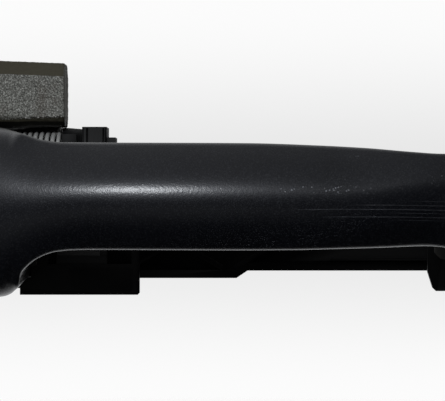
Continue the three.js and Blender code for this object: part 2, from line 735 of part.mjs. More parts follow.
function carrier() {
  const body = join(crankBay(), lockTower(), rearBlock(), post(), rail(), foot());
  const axleBore = rod("x", CRANK, AXLE_R + 0.3, [-70, 3]);
  const clipRelief = rod("x", CRANK, 5.4, [-62, FAR_EAR_X[0]]);
  const lockHole = rod("y", [LOCK_X, LOCK_Z], LOCK_R + GAP, [-5, 30], 32);
  const armSlot = block([-31, -17], [-5, 12], [-24, -6]);
  const clawSlot = block([110, 146], [-5, 8], [-CLAW_HALF - 1, CLAW_HALF + 1]);
  const hingeBore = rod("z", [HINGE_X, HINGE_Y], HINGE_PIN_R + 0.05, [-13.6, 13.6]);
  const pinWay = block([HINGE_X - 3.05, HINGE_X + 3.05], [HINGE_Y, 30], [-13.6, 13.6]);
  const screwBore = rod("y", CARRIER_SCREW, 2.4, [-5, 20], 16);
  const nutPocket = rod("y", CARRIER_SCREW, 4.1, [4, 20], 6);
  const clampWay = block([-95, -80], [8, 12.2], [-7.4, 1.4]);
  const clampScrewBore = rod("x", [10.1, LOCK_Z], 2.8, [-110, -90], 16);
  const cableNotch = rod("z", [-45.5, 9], 3.4, [-40, -20], 20);
  const springRelief = rod("x", CRANK, SPRING_R + 2, [FAR_EAR_X[1], EAR_X[0]], 24);
  const earTop = [
    [EAR_X[0] - 1, 22],
    [EAR_X[0] - 1, 21.25],
    [EAR_X[1] + 0.2, 20.6],
    [EAR_X[1] + 0.2, 22],
  ];
  return cut(
    body,
    axleBore,
    clipRelief,
    lockHole,
    armSlot,
    clawSlot,
    hingeBore,
    pinWay,
    screwBore,
    nutPocket,
    clampWay,
    clampScrewBore,
    cableNotch,
    springRelief,
    prism("y", earTop, [CRANK_Y - 10, 40]),
  );
}

function hingePin() {
  return rod("z", [HINGE_X, HINGE_Y], HINGE_PIN_R - 0.3, [-13.3, 13.3]);
}

// ---------------------------------------------------------------- gaskets
function frontGasket() {
  const ring = ([x0, x1], [z0, z1], corner) => [
    [x0 + corner, z0],
    [x1 - corner, z0],
    [x1, z0 + corner],
    [x1, z1 - corner],
    [x1 - corner, z1],
    [x0 + corner, z1],
    [x0, z1 - corner],
    [x0, z0 + corner],
  ];
  return cut(
    prism("y", ring([102.8, 148.5], [-18.6, 12.6], 2), GASKET_Y),
    prism("y", ring([107.5, 144.5], [-17.5, 9.6], 2), [-10, 10]),
  );
}

function rearGasket() {
  const edgeLine = (outset, from, to) => {
    const xs = [from, ...STATIONS.filter((x) => x > from + 1 && x < to - 1), to];
    const above = xs.map((x) => [x, edgeZ(upperEdge, x) + outset]);
    const below = xs.map((x) => [x, edgeZ(lowerEdge, x) - outset]);
    return [...below, ...above.reverse()];
  };
  return cut(
    prism("y", edgeLine(0.8, REAR_END_X - 0.8, -15), GASKET_Y),
    prism("y", edgeLine(-3, REAR_END_X + 4, -18.5), [-10, 10]),
  );
}

// ---------------------------------------------------------------- lock
function lockCoverCap() {
  return cut(
    paintedShell(REAR_END_X, REAR_SPLIT_X, WALL + 0.6, WALL),
    rod("y", [LOCK_X, LOCK_Z], LOCK_R + 0.4, [-60, 10], 32),
  );
}

function lockHousing() {
  const body = rod("y", [LOCK_X, LOCK_Z], LOCK_R, [LOCK_FACE_Y + 4.8, LOCK_BACK_Y], 32);
  const bore = rod("y", [LOCK_X, LOCK_Z], PLUG_R + 0.3, [-60, 60], 28);
  const clampGroove = block([-90, LOCK_X - 8.8], [8, 12.2], [-20, 20]);
  return cut(body, bore, clampGroove);
}

function lockBezel() {
  return tube("y", [LOCK_X, LOCK_Z], LOCK_R - 0.4, PLUG_R + 0.3, [LOCK_FACE_Y, LOCK_FACE_Y + 4.4], 36);
}

function keyPlug() {
  const body = rod("y", [LOCK_X, LOCK_Z], PLUG_R, [LOCK_FACE_Y - 0.2, LOCK_BACK_Y + 2.6], 28);
  const keyway = block([LOCK_X - 1, LOCK_X + 1], [-60, LOCK_FACE_Y + 18], [LOCK_Z - 4.2, LOCK_Z + 4.2]);
  const clipGroove = tube("y", [LOCK_X, LOCK_Z], 9, 5.2, [LOCK_BACK_Y + 0.5, LOCK_BACK_Y + 1.7]);
  return cut(body, keyway, clipGroove);
}

function plugRetainingClip() {
  return cut(
    tube("y", [LOCK_X, LOCK_Z], 8.2, 5.6, [LOCK_BACK_Y + 0.7, LOCK_BACK_Y + 1.5]),
    block([LOCK_X - 3, LOCK_X + 3], [0, 60], [LOCK_Z, LOCK_Z + 12]),
  );
}

function lockTailpiece() {
  return join(
    block([LOCK_X - 5, LOCK_X + 5], [LOCK_BACK_Y + 3, LOCK_BACK_Y + 5], [LOCK_Z - 4, LOCK_Z + 4]),
    block([LOCK_X - 4.5, LOCK_X + 4.5], [LOCK_BACK_Y + 3, 41], [LOCK_Z - 1.1, LOCK_Z + 1.1]),
  );
}

function lockClampSlider() {
  return cut(
    block([-90, -81.3], [8.4, 11.8], [LOCK_Z - 4, LOCK_Z + 4]),
    rod("x", [10.1, LOCK_Z], 0.9, [-95, -84], 10),
  );
}

function lockRetainingScrew() {
  return cut(
    join(
      rod("x", [10.1, LOCK_Z], 2.4, [-99, -90.4], 16),
      rod("x", [10.1, LOCK_Z], 4.3, [-101.4, -98.4], 20),
    ),
    rod("x", [10.1, LOCK_Z], 1.9, [-105, -99.6], 6),
  );
}

// ---------------------------------------------------------------- fasteners of the carrier
function carrierScrew() {
  return cut(
    join(
      rod("y", CARRIER_SCREW, 1.9, [-1.2, 10.6], 16),
      rod("y", CARRIER_SCREW, 2.5, [-2.9, -0.9], 20),
    ),
    rod("y", CARRIER_SCREW, 1.2, [-5, -1.6], 6),
  );
}

function carrierInsertNut() {
  return cut(rod("y", CARRIER_SCREW, 3.7, [4.4, 9.6], 6), rod("y", CARRIER_SCREW, 2.2, [0, 20], 16));
}

function cableAnchorClip() {
  const axis = [-45.5, 9];
  return cut(
    join(
      rod("z", axis, 3, [FLOOR_Z[0] - 0.5, FLOOR_Z[1] + 0.5], 20),
      rod("z", axis, 4.2, [FLOOR_Z[1] + 0.3, FLOOR_Z[1] + 1.8], 20),
      rod("z", axis, 4.2, [FLOOR_Z[0] - 1.8, FLOOR_Z[0] - 0.3], 20),
    ),
    rod("z", axis, 1.7, [-40, -10], 14),
    block([axis[0] - 0.9, axis[0] + 0.9], [-5, axis[1]], [-40, -10]),
  );
}

// ---------------------------------------------------------------- assembly
function piece(name, body, look) {
  const { vertProperties, triVerts } = body.getMesh();
  const geometry = new THREE.BufferGeometry();
  geometry.setAttribute("position", new THREE.BufferAttribute(vertProperties, 3));
  geometry.setIndex(new THREE.BufferAttribute(triVerts, 1));
  geometry.computeVertexNormals();
  const mesh = new THREE.Mesh(geometry, new THREE.MeshStandardMaterial(look));
  mesh.name = name;
  return mesh;
}

const handle = new THREE.Group();
handle.add(
  piece("grip_outer_shell", gripOuterShell(), PAINT),
  piece("grip_inner_shell", gripInnerShell(), BLACK_PLASTIC),
  piece("pull_arm", pullArm(), CAST_ZINC),
  piece("grip_screw_rear", gripScrew(ARM_SCREW_X[0]), STEEL),
  piece("grip_screw_front", gripScrew(ARM_SCREW_X[1]), STEEL),
  piece("rest_buffer", restBuffer(), RUBBER),
  piece("bell_crank", bellCrank(), BLACK_PLASTIC),
  piece("counterweight", counterweight(), CAST_METAL),
  piece("counterweight_screw", counterweightScrew(), STEEL),
  piece("return_spring", returnSpring(), STEEL),
  piece("pivot_pin", pivotPin(), STEEL),
  piece("pin_retaining_clip", pinRetainingClip(), STEEL),
  piece("carrier", carrier(), BLACK_PLASTIC),
  piece("hinge_pin", hingePin(), STEEL),
  piece("front_gasket", frontGasket(), RUBBER),
  piece("rear_gasket", rearGasket(), RUBBER),
  piece("lock_cover_cap", lockCoverCap(), PAINT),
  piece("lock_housing", lockHousing(), CAST_ZINC),
  piece("lock_bezel", lockBezel(), CHROME),
  piece("key_plug", keyPlug(), CHROME),
  piece("plug_retaining_clip", plugRetainingClip(), STEEL),
  piece("lock_tailpiece", lockTailpiece(), STEEL),
  piece("lock_clamp_slider", lockClampSlider(), CAST_ZINC),
  piece("lock_retaining_screw", lockRetainingScrew(), STEEL),
  piece("carrier_screw_front", carrierScrew(), STEEL),
  piece("carrier_insert_nut", carrierInsertNut(), BRASS),
  piece("cable_anchor_clip", cableAnchorClip(), GREY_PLASTIC),
);

export default handle;
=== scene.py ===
"""Looks of the car door handle: painted grip and lock cover, black carrier, cast counterweight,
torsion spring, lock and fixings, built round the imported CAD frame. Points are in millimetres
in the functions that build meshes and become metres in mesh_of() and finish_bmesh().
Materials, lights and the stage are in metres."""

import math

import bmesh
import bpy
import numpy as np
from mathutils import Matrix, Vector, noise


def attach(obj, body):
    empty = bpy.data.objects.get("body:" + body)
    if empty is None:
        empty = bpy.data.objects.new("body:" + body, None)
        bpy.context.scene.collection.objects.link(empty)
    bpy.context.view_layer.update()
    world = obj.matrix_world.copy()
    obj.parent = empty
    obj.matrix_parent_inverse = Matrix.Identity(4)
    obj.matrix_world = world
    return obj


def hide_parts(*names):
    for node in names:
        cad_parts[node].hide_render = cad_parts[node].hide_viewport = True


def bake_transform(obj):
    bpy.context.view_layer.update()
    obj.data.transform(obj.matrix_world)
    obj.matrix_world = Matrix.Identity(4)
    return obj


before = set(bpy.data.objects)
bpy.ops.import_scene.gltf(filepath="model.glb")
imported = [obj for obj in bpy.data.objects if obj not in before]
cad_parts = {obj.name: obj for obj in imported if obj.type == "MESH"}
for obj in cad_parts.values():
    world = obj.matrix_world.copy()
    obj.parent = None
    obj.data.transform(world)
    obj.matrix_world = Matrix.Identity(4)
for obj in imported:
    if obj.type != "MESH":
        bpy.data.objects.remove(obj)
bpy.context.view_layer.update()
MM = 0.001

# ---------------------------------------------------------------- dimensions of the design
CROWN_X, CROWN_Y = 40.0, -46.0
BOW_HALF, BOW_DROP = 105.0, 14.0
RIDGE_Z = 1.8
RIDGE_TILT = 0.194  # how steeply the painted front faces upwards along the ridge line
SEAT_Y = -3.1
REAR_SPLIT_X = -52.9
REAR_END_X, REAR_ROUND = -92.0, 26.0
FRONT_END_X, FRONT_ROUND = 145.0, 18.0
END_POWER = 2.3
WALL = 2.6
SPLIT_GAP = 0.35  # on either side of the joint between lock cover and grip
CRANK_Y, CRANK_Z = 20.0, 12.5
LOCK_X, LOCK_Z = -72.0, -3.0
LOCK_HOLE_RADIUS = 11.4
# the outline of the painted front: (x, z) along its upper and its lower edge
UPPER_EDGE = [
    (-66, 20.1), (-50, 20.6), (-34, 20.4), (-21.8, 19.2), (-16, 17.6), (-11.2, 16.1), (-6, 15.4),
    (0, 15.3), (47, 15.07), (67, 14.42), (80, 13.72), (94, 12.52), (101.5, 12.05), (127, 11.9),
]
LOWER_EDGE = [
    (-66, -27.2), (-50, -28.7), (-32, -29.1), (-26, -29.0), (-22.6, -28.6), (-20.9, -28.0),
    (-19.3, -26.8), (-18.2, -25.9), (-17.7, -25.0), (-17.3, -22.7), (-16.6, -21.2), (-15.2, -19.7),
    (-13.2, -18.1), (-11.0, -16.9), (-9, -16.1), (-7, -15.6), (-3, -15.14), (3, -15.01),
    (24, -15.05), (45, -15.12), (62, -15.01), (74, -14.71), (85, -14.44), (92, -14.18),
    (97, -14.05), (102, -14.33), (110, -16.4), (119, -17.5), (127, -17.7),
]


# ---------------------------------------------------------------- curves
def smooth_curve(points):
    """A smooth f(x) through the points that never overshoots them, for numbers or arrays."""
    xs = np.array([p[0] for p in points], float)
    vs = np.array([p[1] for p in points], float)
    slopes = np.diff(vs) / np.diff(xs)
    before = np.concatenate([slopes[:1], slopes])
    after = np.concatenate([slopes, slopes[-1:]])
    product = before * after
    total = np.where(np.abs(before + after) < 1e-12, 1.0, before + after)
    tangents = np.where(product <= 0, 0.0, 2 * product / total)

    def curve(x):
        x = np.asarray(x, float)
        i = np.clip(np.searchsorted(xs, x, side="right") - 1, 0, len(xs) - 2)
        width = xs[i + 1] - xs[i]
        t = np.clip((x - xs[i]) / width, 0, 1)
        rest = 1 - t
        return (
            vs[i] * rest * rest * (1 + 2 * t)
            + tangents[i] * width * t * rest * rest
            + vs[i + 1] * t * t * (3 - 2 * t)
            - tangents[i + 1] * width * t * t * rest
        )

    return curve


upper_edge = smooth_curve(UPPER_EDGE)
lower_edge = smooth_curve(LOWER_EDGE)


def smoothstep(x, start, end):
    """0 before start, 1 past end, and a smooth climb between them."""
    t = np.clip((np.asarray(x, float) - start) / (end - start), 0, 1)
    return t * t * (3 - 2 * t)


def end_round(x):
    """1 along the handle, falling to 0 at either rounded end."""
    x = np.asarray(x, float)
    rear = (REAR_END_X + REAR_ROUND - x) / REAR_ROUND
    front = (x - (FRONT_END_X - FRONT_ROUND)) / FRONT_ROUND
    into = np.clip(np.maximum(np.maximum(rear, front), 0), 0, 1)
    return (1 - into**END_POWER) ** (1 / END_POWER)


def edge_z(edge, x):
    """Height of one edge of the outline, drawn in to the ridge at the rounded ends."""
    return RIDGE_Z + (edge(x) - RIDGE_Z) * end_round(x)


def bow(x):
    """Depth of the crest line, which comes furthest forward at the crown."""
    return CROWN_Y + ((np.asarray(x, float) - CROWN_X) / BOW_HALF) ** 2 * BOW_DROP


def into_head(x, rear_start, rear_end, front_start, front_end):
    """0 on the strap and 1 in either head, with a smooth climb over the two ranges given."""
    rear = smoothstep(-np.asarray(x, float), -rear_start, -rear_end)
    return np.maximum(rear, smoothstep(x, front_start, front_end))


# ---------------------------------------------------------------- mesh helpers
def mesh_of(name, points, faces):
    """A mesh in metres from points in millimetres."""
    mesh = bpy.data.meshes.new(name)
    mesh.from_pydata([(p[0] * MM, p[1] * MM, p[2] * MM) for p in points], [], faces)
    mesh.validate()
    mesh.update()
    return mesh


def finish_bmesh(bm, name, scale=MM):
    """The bmesh as a mesh in metres, with its faces turned outwards."""
    bmesh.ops.recalc_face_normals(bm, faces=bm.faces)
    if scale != 1:
        bmesh.ops.scale(bm, vec=(scale,) * 3, verts=bm.verts)
    mesh = bpy.data.meshes.new(name)
    bm.to_mesh(mesh)
    bm.free()
    return mesh


def add_piece(name, mesh, body, material, replaces, crease=32, ride=True):
    """Adds a visible piece that rides on a CAD body and stands for CAD nodes."""
    obj = bpy.data.objects.new(name, mesh)
    bpy.context.scene.collection.objects.link(obj)
    mesh.materials.clear()
    mesh.materials.append(material)
    shade(mesh, crease)
    if ride:
        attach(obj, body)
    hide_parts(*replaces)
    return obj


def shade(mesh, crease):
    """Smooth shading that stays sharp on edges of more than the crease angle in degrees."""
    mesh.shade_smooth()
    mesh.set_sharp_from_angle(angle=math.radians(crease))


def sharp_edges(bm, angle):
    """The edges between two faces that turn by more than the angle, given in degrees."""
    limit = math.radians(angle)
    return [e for e in bm.edges if len(e.link_faces) == 2 and e.calc_face_angle(0) > limit]


def refined(node, bevel):
    """A CAD node's own shape with its flat faces made whole and its edges broken."""
    SAME_SPOT = 2e-6
    bm = bmesh.new()
    bm.from_mesh(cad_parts[node].data)
    bmesh.ops.remove_doubles(bm, verts=bm.verts, dist=SAME_SPOT)
    bmesh.ops.dissolve_limit(
        bm, angle_limit=math.radians(0.8), verts=bm.verts, edges=bm.edges,
        use_dissolve_boundaries=False,
    )
    bmesh.ops.bevel(
        bm, geom=sharp_edges(bm, 35), offset=bevel * MM, offset_type="OFFSET", segments=2,
        profile=0.5, affect="EDGES", clamp_overlap=True, harden_normals=False,
    )
    return bm


def add_lathe(bm, profile, axis, centre, sides):
    """A turned body along y or z: profile is (radius, height), from axis to axis."""
    turn = {"y": Matrix.Rotation(-math.pi / 2, 4, "X"), "z": Matrix.Identity(4)}[axis]
    place = Matrix.Translation(Vector(centre)) @ turn
    rings = []
    for radius, height in profile:
        if radius == 0:
            rings.append([bm.verts.new(place @ Vector((0, 0, height)))])
            continue
        ring = []
        for k in range(sides):
            angle = 2 * math.pi * k / sides
            spot = Vector((radius * math.cos(angle), radius * math.sin(angle), height))
            ring.append(bm.verts.new(place @ spot))
        rings.append(ring)
    for low, high in zip(rings, rings[1:]):
        for k in range(sides):
            n = (k + 1) % sides
            if len(low) == 1:
                bm.faces.new((low[0], high[n], high[k]))
            elif len(high) == 1:
                bm.faces.new((low[k], low[n], high[0]))
            else:
                bm.faces.new((low[k], low[n], high[n], high[k]))


def add_block(bm, xs, ys, zs):
    """A box between the two values given along each axis."""
    made = bmesh.ops.create_cube(bm, size=1)["verts"]
    size = (xs[1] - xs[0], ys[1] - ys[0], zs[1] - zs[0])
    bmesh.ops.scale(bm, vec=size, verts=made)
    middle = ((xs[0] + xs[1]) / 2, (ys[0] + ys[1]) / 2, (zs[0] + zs[1]) / 2)
    bmesh.ops.translate(bm, vec=middle, verts=made)


def cut_by(mesh, cutter):
    """The first mesh cut by the second, as a new mesh. Both are in metres."""
    host = bpy.data.objects.new("boolean_host", mesh)
    tool = bpy.data.objects.new("boolean_tool", cutter)
    for obj in (host, tool):
        bpy.context.scene.collection.objects.link(obj)
    step = host.modifiers.new("cut", "BOOLEAN")
    step.operation = "DIFFERENCE"
    step.solver = "EXACT"
    step.object = tool
    bpy.context.view_layer.update()
    cut = host.evaluated_get(bpy.context.evaluated_depsgraph_get())
    result = bpy.data.meshes.new_from_object(cut)
    for obj in (host, tool):
        bpy.data.objects.remove(obj)
    return result


# ---------------------------------------------------------------- material helpers
def material(name, base, roughness, metallic=0.0, coat=0.0, coat_roughness=0.1):
    """A new material with one Principled BSDF set to these values."""
    mat = bpy.data.materials.new(name)
    mat.use_nodes = True
    bsdf = mat.node_tree.nodes["Principled BSDF"]
    bsdf.inputs["Base Color"].default_value = (*base, 1)
    bsdf.inputs["Roughness"].default_value = roughness
    bsdf.inputs["Metallic"].default_value = metallic
    bsdf.inputs["Coat Weight"].default_value = coat
    bsdf.inputs["Coat Roughness"].default_value = coat_roughness
    return mat


class Nodes:
    """Short calls for building a node tree round one Principled BSDF."""

    def __init__(self, mat):
        self.tree = mat.node_tree
        self.bsdf = mat.node_tree.nodes["Principled BSDF"]
        self.place = self.tree.nodes.new("ShaderNodeTexCoord").outputs["Object"]

    def link(self, source, target):
        self.tree.links.new(source, target)

    def scaled(self, scale):
        """The place on the object, scaled along each axis."""
        node = self.tree.nodes.new("ShaderNodeMapping")
        node.inputs["Scale"].default_value = scale
        self.link(self.place, node.inputs["Vector"])
        return node.outputs["Vector"]

    def noise(self, scale, detail=3.0, rough=0.55, vector=None):
        node = self.tree.nodes.new("ShaderNodeTexNoise")
        node.inputs["Scale"].default_value = scale
        node.inputs["Detail"].default_value = detail
        node.inputs["Roughness"].default_value = rough
        self.link(vector or self.place, node.inputs["Vector"])
        return node.outputs["Fac"]

    def cells(self, scale, output="Distance"):
        node = self.tree.nodes.new("ShaderNodeTexVoronoi")
        node.inputs["Scale"].default_value = scale
        self.link(self.place, node.inputs["Vector"])
        return node.outputs[output]

    def ramp(self, source, stops):
        node = self.tree.nodes.new("ShaderNodeValToRGB")
        ramp = node.color_ramp
        while len(ramp.elements) < len(stops):
            ramp.elements.new(0.5)
        for element, (position, color) in zip(ramp.elements, stops):
            element.position = position
            element.color = (*color, 1)
        self.link(source, node.inputs["Fac"])
        return node.outputs["Color"]

    def grey(self, source, low, high, start=0.0, end=1.0):
        """A value that goes from low to high as the source goes from start to end."""
        node = self.tree.nodes.new("ShaderNodeMapRange")
        values = {"From Min": start, "From Max": end, "To Min": low, "To Max": high}
        for key, value in values.items():
            node.inputs[key].default_value = value
        self.link(source, node.inputs["Value"])
        return node.outputs["Result"]

    def math(self, operation, a, b=None):
        node = self.tree.nodes.new("ShaderNodeMath")
        node.operation = operation
        for socket, value in zip(node.inputs, (a, b)):
            if value is None:
                continue
            if isinstance(value, (int, float)):
                socket.default_value = value
            else:
                self.link(value, socket)
        return node.outputs["Value"]

    def mix(self, factor, a, b):
        node = self.tree.nodes.new("ShaderNodeMix")
        node.data_type = "RGBA"
        for key, value in (("Factor", factor), ("A", a), ("B", b)):
            socket = node.inputs[key]
            if isinstance(value, tuple):
                socket.default_value = (*value, 1)
            elif isinstance(value, (int, float)):
                socket.default_value = value
            else:
                self.link(value, socket)
        return node.outputs["Result"]

    def axis(self, name):
        node = self.tree.nodes.new("ShaderNodeSeparateXYZ")
        self.link(self.place, node.inputs["Vector"])
        return node.outputs[name]

    def edges(self):
        """How far the surface is convex: above 0.5 on edges that wear."""
        return self.tree.nodes.new("ShaderNodeNewGeometry").outputs["Pointiness"]

    def bump(self, height, distance, strength, target="Normal"):
        node = self.tree.nodes.new("ShaderNodeBump")
        node.inputs["Strength"].default_value = strength
        node.inputs["Distance"].default_value = distance
        self.link(height, node.inputs["Height"])
        self.link(node.outputs["Normal"], self.bsdf.inputs[target])


# ---------------------------------------------------------------- materials
def make_paint():
    """Dark graphite metallic lacquer: fine flakes under a satin clear coat, with hairline
    scratches low on the front half and small chips along the crest."""
    mat = material(
        "graphite_paint", (0.010, 0.0112, 0.0155), 0.36, 0.5, coat=0.85, coat_roughness=0.23
    )
    n = Nodes(mat)
    flakes = n.cells(3300, output="Color")
    haze = n.noise(60, 4)
    tone = n.ramp(haze, [(0.3, (0.0078, 0.0090, 0.0145)), (0.7, (0.0112, 0.0126, 0.0190))])
    glint = n.grey(flakes, 0, 1, 0.6, 0.9)
    bright = n.mix(n.math("MULTIPLY", glint, 0.8), tone, (0.035, 0.038, 0.046))
    n.link(n.grey(flakes, 0.3, 0.46), n.bsdf.inputs["Roughness"])
    x, z = n.axis("X"), n.axis("Z")
    # hairlines: they wander along x and fade in and out at their ends
    FADE, SCARRED = 0.008, (0.30, 0.31, 0.35)
    wander = n.math("SUBTRACT", n.noise(1, 1, 0.5, n.scaled((13, 0, 0))), 0.5)
    wavy = n.math("ADD", z, n.math("MULTIPLY", wander, 0.0030))
    lines = None
    # height, first x, last x and half width in metres
    for height, first, last, half in (
        (-0.0036, 0.058, 0.120, 0.00010), (-0.0057, 0.066, 0.120, 0.00010),
        (-0.0024, 0.074, 0.120, 0.00006), (-0.0046, 0.084, 0.112, 0.00006),
        (-0.0012, 0.088, 0.116, 0.00005), (-0.0066, 0.086, 0.108, 0.00005),
    ):
        away = n.math("ABSOLUTE", n.math("SUBTRACT", wavy, height))
        near = n.grey(away, 1, 0, half * 0.4, half * 1.6)
        begun, over = n.grey(x, 0, 1, first, first + FADE), n.grey(x, 1, 0, last - FADE, last)
        line = n.math("MULTIPLY", near, n.math("MULTIPLY", begun, over))
        lines = line if lines is None else n.math("MAXIMUM", lines, line)
    broken = n.grey(n.noise(1, 2, 0.6, n.scaled((40, 0, 500))), 0.35, 1, 0.35, 0.6)
    scratch = n.math("MULTIPLY", lines, broken)
    # chips: small pits in a row near the crest and a few strays
    pits = n.grey(n.cells(1000), 1, 0, 0.14, 0.32)
    sparse = n.grey(n.noise(520, 1), 0, 1, 0.38, 0.46)
    row = n.math("MULTIPLY", n.grey(z, 0, 1, 0.0006, 0.0014), n.grey(z, 1, 0, 0.0024, 0.0032))
    reach = n.math("MULTIPLY", n.grey(x, 0, 1, 0.054, 0.060), n.grey(x, 1, 0, 0.072, 0.086))
    here_and_there = n.grey(n.noise(75, 1), 0, 0.8, 0.62, 0.66)
    stray = n.math("MULTIPLY", here_and_there, n.grey(x, 0, 1, 0.056, 0.06))
    stray = n.math("MULTIPLY", stray, n.grey(z, 0, 1, 0.003, 0.005))
    where = n.math("MAXIMUM", n.math("MULTIPLY", row, reach), stray)
    chips = n.math("MULTIPLY", n.math("MULTIPLY", pits, sparse), where)
    scars = n.math("MAXIMUM", n.math("MULTIPLY", scratch, 0.5), chips)
    n.link(n.mix(n.math("MULTIPLY", scars, 0.8), bright, SCARRED), n.bsdf.inputs["Base Color"])
    peel = n.math("MULTIPLY", n.noise(1300, 2, 0.55), 1.05)
    grain = n.math("MULTIPLY", n.noise(2900, 2, 0.5), 0.45)
    relief = n.math("SUBTRACT", n.math("ADD", peel, grain), n.math("MULTIPLY", scars, 2.5))
    n.bump(relief, 0.00006, 0.6, target="Coat Normal")
    n.bump(n.math("ADD", flakes_grey(n, flakes), grain), 0.00006, 0.8)
    return mat


def flakes_grey(n, flakes):
    """One of the random values that every flake carries."""
    split = n.tree.nodes.new("ShaderNodeSeparateColor")
    n.link(flakes, split.inputs["Color"])
    return split.outputs["Green"]


def make_plastic(
    name, base, roughness, grain=0.00003, wear=0.05, scale=2600, specular=0.5, painted_light_patch=None
):
    """Moulded plastic: fine spark-eroded grain, dust in broad patches, lighter edges where they
    wear, and optionally a patch of painted light from x0 to x1 and z0 to z1, in front of y1, in
    metres, painted lighter still on its upper part."""
    mat = material(name, base, roughness)
    n = Nodes(mat)
    n.bsdf.inputs["Specular IOR Level"].default_value = specular
    dust = n.grey(n.noise(34, 5, 0.6), 0, 0.35, 0.5, 0.8)
    dusty = n.mix(dust, base, tuple(c * 1.6 + 0.004 for c in base))
    surface_colour = n.mix(n.grey(n.edges(), 0, 0.8, 0.52, 0.6), dusty, tuple(c * 2 + wear for c in base))
    # painted light: a lit patch, lighter still on its upper, upward-facing part
    if painted_light_patch:
        x0, x1, y1, z0, z1 = painted_light_patch
        x, y, z = n.axis("X"), n.axis("Y"), n.axis("Z")
        inside = n.grey(x, 0, 1, x0, x0 + 0.0005)
        inside = n.math("MULTIPLY", inside, n.grey(x, 1, 0, x1 - 0.0005, x1))
        inside = n.math("MULTIPLY", inside, n.grey(z, 0, 1, z0, z0 + 0.0004))
        inside = n.math("MULTIPLY", inside, n.grey(z, 1, 0, z1, z1 + 0.0004))
        inside = n.math("MULTIPLY", inside, n.grey(y, 1, 0, y1, y1 + 0.0002))
        # painted highlight: the upward-facing upper part is lighter than the rest of the patch
        upper_painted_light = n.grey(z, 0.45, 1.0, (z0 + z1) / 2, (z0 + z1) / 2 + 0.0003)
        surface_colour = n.mix(n.math("MULTIPLY", inside, upper_painted_light), surface_colour, (0.10, 0.10, 0.10))
    n.link(surface_colour, n.bsdf.inputs["Base Color"])
    uneven = n.grey(n.noise(160, 4), roughness - 0.07, roughness + 0.1, 0.3, 0.7)
    n.link(uneven, n.bsdf.inputs["Roughness"])
    n.bump(n.noise(scale, 3, 0.6), grain, 0.7)
    return mat


def make_metal(
    name, base, roughness, brushing=(300, 300, 300), grain=0.000012, tarnish=0.75, metallic=1.0
):
    """Bare or plated metal with directional tool marks and cloudy tarnish."""
    mat = material(name, base, roughness, metallic)
    n = Nodes(mat)
    cloud = n.noise(90, 4, 0.6)
    dull = tuple(c * tarnish for c in base)
    n.link(n.mix(n.grey(cloud, 0, 1, 0.35, 0.75), base, dull), n.bsdf.inputs["Base Color"])
    marks = n.noise(1, 3, 0.6, n.scaled(brushing))
    n.link(n.grey(marks, roughness - 0.08, roughness + 0.12, 0.3, 0.7), n.bsdf.inputs["Roughness"])
    n.bump(marks, grain, 0.6)
    return mat


def make_casting():
    """Rough cast iron: glittering grey faces with rust blotches, smoother olive oxide on the
    dressed chamfers and sides, a smoother foot with painted shade on it, and painted shade
    near black on the downward faces and the lowest band."""
    mat = material("rough_casting", (0.11, 0.11, 0.097), 0.55, 0.5)
    RUST, SIDE = (0.15, 0.11, 0.085), (0.085, 0.077, 0.054)
    # painted shade colours: one for the foot, one near black for downward faces and the lowest band
    FOOT_SHADE_COLOUR, UNDERSIDE_SHADE_COLOUR = (0.062, 0.056, 0.036), (0.011, 0.0105, 0.007)
    n = Nodes(mat)
    grit = n.noise(2300, 4, 0.7)
    blotch = n.noise(150, 4, 0.6)
    face = n.ramp(grit, [
        (0.32, (0.045, 0.045, 0.038)), (0.45, (0.20, 0.20, 0.18)),
        (0.55, (0.42, 0.42, 0.385)), (0.66, (1.0, 1.0, 0.96)),
    ])
    rusty = n.mix(n.grey(blotch, 0, 0.35, 0.5, 0.72), face, RUST)
    normal = n.tree.nodes.new("ShaderNodeNewGeometry").outputs["Normal"]
    split = n.tree.nodes.new("ShaderNodeSeparateXYZ")
    n.link(normal, split.inputs["Vector"])
    up = split.outputs["Z"]
    # the dressed chamfers face between the main faces: |y * z| is near one half on them
    slant = n.math("MULTIPLY", n.math("ABSOLUTE", split.outputs["Y"]), n.math("ABSOLUTE", up))
    ragged = n.math("ADD", slant, n.grey(grit, -0.1, 0.1, 0.35, 0.65))
    chamfer = n.grey(ragged, 0, 1, 0.32, 0.40)
    olive = n.ramp(grit, [(0.3, (0.085, 0.077, 0.052)), (0.7, (0.15, 0.137, 0.098))])
    side = n.grey(n.math("ABSOLUTE", split.outputs["X"]), 0, 0.8, 0.6, 0.8)
    upper = n.mix(side, n.mix(chamfer, rusty, olive), SIDE)
    # the foot: smoother below a slightly sloping line, with painted shade on it, and painted shade
    # near black lower down
    height = n.math("SUBTRACT", n.axis("Z"), n.math("MULTIPLY", n.axis("X"), 0.034))
    height = n.math("ADD", height, n.grey(grit, -0.0003, 0.0003, 0.35, 0.65))
    foot = n.grey(height, 1, 0, 0.0241, 0.0245)
    # painted shade: near black on faces that turn downwards and on the lowest band
    underside_shade = n.math("MAXIMUM", n.grey(up, 1, 0, -0.62, -0.4), n.grey(height, 1, 0, 0.0227, 0.0240))
    lower = n.mix(foot, upper, FOOT_SHADE_COLOUR)
    n.link(n.mix(underside_shade, lower, UNDERSIDE_SHADE_COLOUR), n.bsdf.inputs["Base Color"])
    n.link(n.grey(grit, 0.4, 0.75, 0.35, 0.65), n.bsdf.inputs["Roughness"])
    rough = n.grey(n.math("MAXIMUM", chamfer, foot), 1, 0.3)
    n.bump(n.math("MULTIPLY", n.math("ADD", grit, n.noise(1100, 3, 0.7)), rough), 0.0003, 0.9)
    return mat


